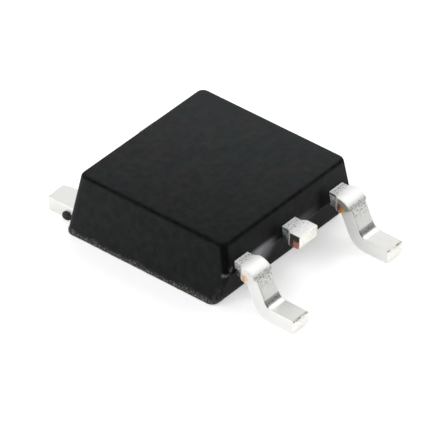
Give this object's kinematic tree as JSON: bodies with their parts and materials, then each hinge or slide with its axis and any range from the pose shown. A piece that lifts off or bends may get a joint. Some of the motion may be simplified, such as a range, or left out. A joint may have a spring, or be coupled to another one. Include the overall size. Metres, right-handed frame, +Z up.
{
  "type": "power MOSFET",
  "caption": "Surface-mount power transistor: black moulded body, soldered-down heat tab, two gull-wing leads and a cut-short middle lead.",
  "frame": {"origin": "on the seating plane, under the middle of the whole outline", "axes": "+Y from the leads to the heat tab, +X to the source lead, +Z up from the seating plane"},
  "size_m": [0.0062, 0.0096, 0.0023],
  "materials": {
    "moulding_compound": "satin",
    "tinned_copper": "satin",
    "silicon": "polished",
    "solder": "satin",
    "aluminium_wire": "satin"
  },
  "bodies": {
    "root": {"moulded_body": "moulding_compound", "drain_leadframe": "tinned_copper", "gate_lead": "tinned_copper", "source_lead": "tinned_copper", "silicon_die": "silicon", "die_attach_solder": "solder", "gate_bond_wire": "aluminium_wire", "source_bond_wire_1": "aluminium_wire", "source_bond_wire_2": "aluminium_wire"}
  },
  "joints": []
}
